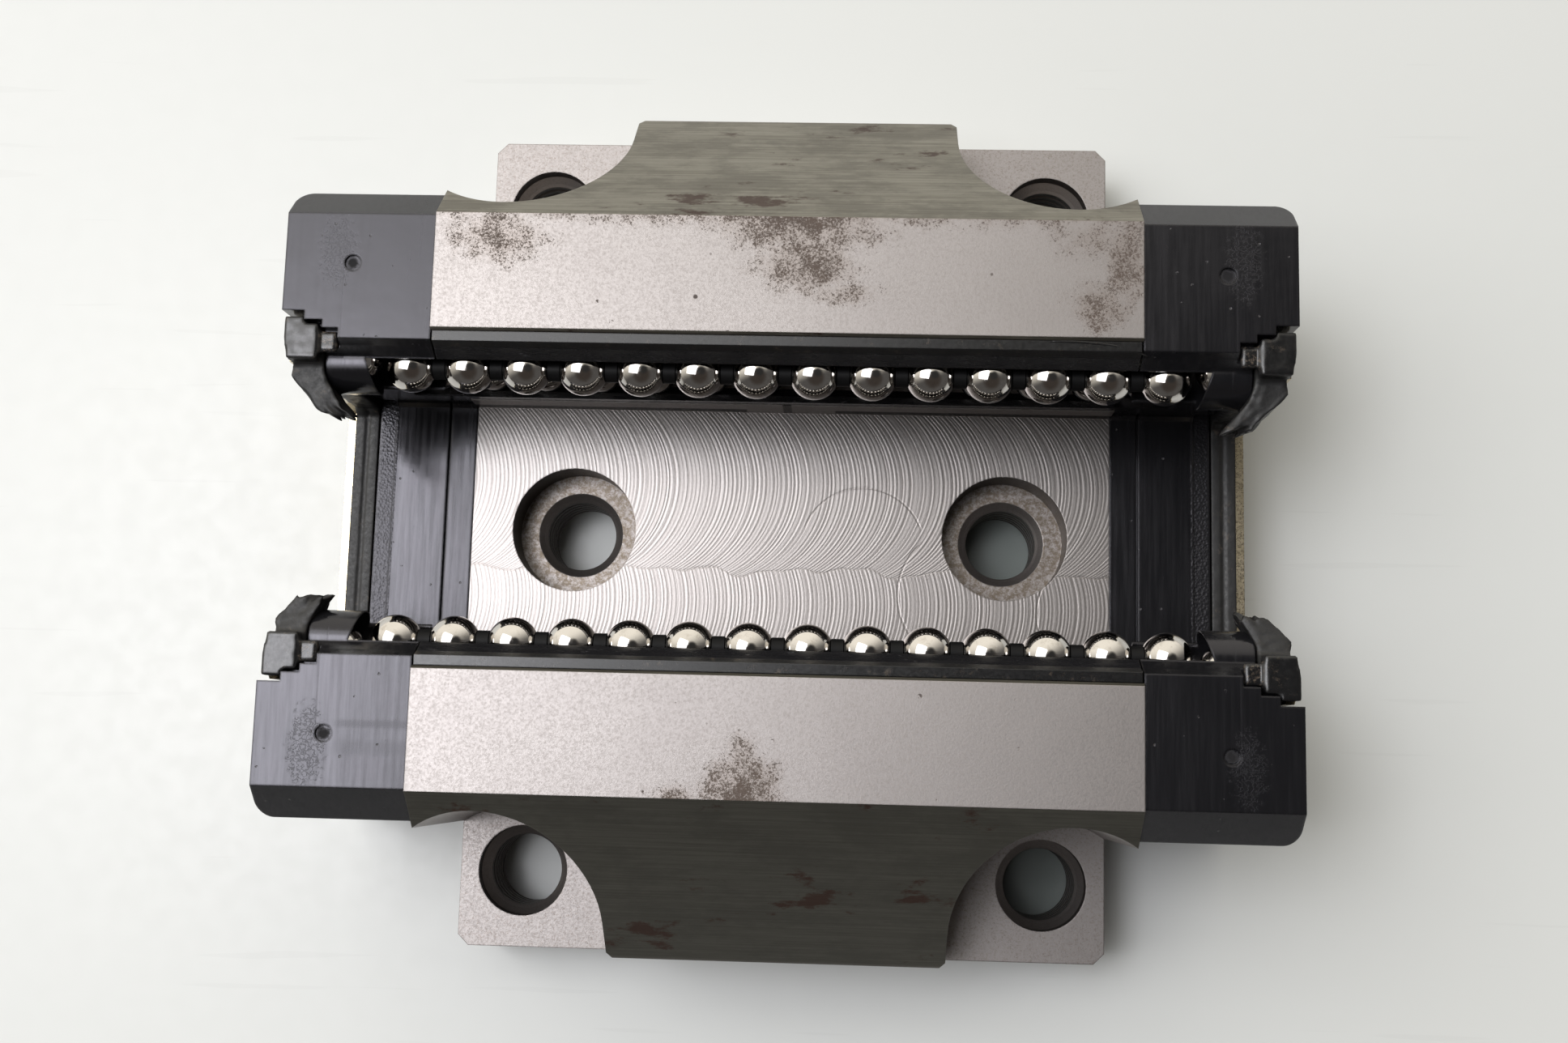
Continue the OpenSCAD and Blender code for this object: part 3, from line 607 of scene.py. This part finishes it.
def floor_material():
    g = Graph("floor_white")
    haze = g.noise(0.006, 3, 0.5)
    fine = g.noise(0.35, 4, 0.6)
    swirl = g.span(g.noise(1.0, 2, 0.5, g.vector(0.02, 0.5, 1.0)), 0.665, 0.69)
    color = g.mix(haze, (0.665, 0.685, 0.675), (0.71, 0.725, 0.715))
    color = g.mix(g.mul(swirl, 0.10), color, (0.50, 0.51, 0.50))
    # Painted shadow on the floor where the part stands, seen through its holes, darker towards +X
    footprint_shade = g.mul(g.near(g.x, 0.0, 37.0, 1.0), g.near(g.y, 0.0, 47.0, 1.0))
    footprint_shade = g.mul(footprint_shade, g.span(g.x, -20, 15, 0.25, 0.85))
    # painted shadow: the floor under the part is mixed towards dark
    color = g.mix(footprint_shade, color, (0.085, 0.11, 0.10))
    rough = g.span(fine, 0.3, 0.7, 0.28, 0.36)
    return g.set(color=color, rough=rough, normal=g.bump(haze, 0.3, 0.2), ior=1.45)


FLOOR_HALF_M = 3.0
floor_mesh = bpy.data.meshes.new("floor")
grid = bmesh.new()
bmesh.ops.create_grid(grid, x_segments=8, y_segments=8, size=FLOOR_HALF_M)
grid.to_mesh(floor_mesh)
grid.free()
floor = bpy.data.objects.new("floor", floor_mesh)
bpy.context.scene.collection.objects.link(floor)
floor_mesh.materials.append(floor_material())

world = bpy.data.worlds.new("soft_room")
bpy.context.scene.world = world
world.use_nodes = True
tree = world.node_tree
background = tree.nodes["Background"]
coord = tree.nodes.new("ShaderNodeTexCoord")


def towards(direction, start, stop):
    """0 to 1 as a ray of the room turns from start to stop, both cosines to a direction."""
    dot = tree.nodes.new("ShaderNodeVectorMath")
    dot.operation = "DOT_PRODUCT"
    dot.inputs[1].default_value = Vector(direction).normalized()
    tree.links.new(coord.outputs["Generated"], dot.inputs[0])
    ramp = tree.nodes.new("ShaderNodeMapRange")
    ramp.interpolation_type = "SMOOTHSTEP"
    ramp.inputs["From Min"].default_value = start
    ramp.inputs["From Max"].default_value = stop
    tree.links.new(dot.outputs["Value"], ramp.inputs["Value"])
    return ramp.outputs[0]


def shade(fac, a, b):
    """From colour a to colour b in the room's own node tree."""
    n = tree.nodes.new("ShaderNodeMix")
    n.data_type = "RGBA"
    tree.links.new(fac, n.inputs[0])
    for socket, value in ((n.inputs[6], a), (n.inputs[7], b)):
        if isinstance(value, tuple):
            socket.default_value = (*value, 1)
        else:
            tree.links.new(value, socket)
    return n.outputs[2]


room = shade(towards((-0.35, 0.9, 0.15), -0.25, 0.85), (0.11, 0.105, 0.10), (1.34, 1.27, 1.12))
room = shade(towards((0.16, -0.42, 0.89), 0.66, 0.93), room, (0.060, 0.050, 0.043))
room = shade(towards((0.30, 0.02, 0.95), 0.90, 0.985), room, (0.038, 0.037, 0.036))
tree.links.new(room, background.inputs[0])
background.inputs[1].default_value = 1.0


def softbox(name, direction, distance, size, power, color):
    """A rectangular light that looks at the origin from a direction, in metres and watts."""
    data = bpy.data.lights.new(name, "AREA")
    data.shape = "RECTANGLE"
    data.size, data.size_y = size
    data.energy = power
    data.color = color
    o = bpy.data.objects.new(name, data)
    bpy.context.scene.collection.objects.link(o)
    d = Vector(direction).normalized()
    o.location = d * distance
    o.rotation_mode = "QUATERNION"
    o.rotation_quaternion = d.to_track_quat("Z", "Y")


softbox("window", (-0.44, 0.12, 0.89), 1.40, (1.15, 1.15), 12.4, (0.97, 0.975, 1.0))
softbox("window_core", (-0.36, 0.06, 0.93), 1.30, (0.42, 0.36), 3.4, (0.94, 0.94, 1.0))

LENS_MM = 39.85
ROLL_DEG = 1.56
cam_data = bpy.data.cameras.new("photo_view")
cam_data.sensor_width = 36
cam_data.lens = LENS_MM
cam_data.clip_start = 0.01
camera = bpy.data.objects.new("photo_view", cam_data)
bpy.context.scene.collection.objects.link(camera)
eye = Vector((8.32, -27.49, 222.36)) * MM
target = Vector((-0.32, 0.78, 20.0)) * MM
back_axis = (eye - target).normalized()
side_axis = Vector((0, 1, 0)).cross(back_axis).normalized()
side_axis = Matrix.Rotation(math.radians(ROLL_DEG), 3, back_axis) @ side_axis
up_axis = back_axis.cross(side_axis)
camera.matrix_world = Matrix((
    (side_axis.x, up_axis.x, back_axis.x, eye.x),
    (side_axis.y, up_axis.y, back_axis.y, eye.y),
    (side_axis.z, up_axis.z, back_axis.z, eye.z),
    (0, 0, 0, 1),
))
bpy.context.scene.camera = camera
bpy.context.scene.view_settings.view_transform = "Standard"
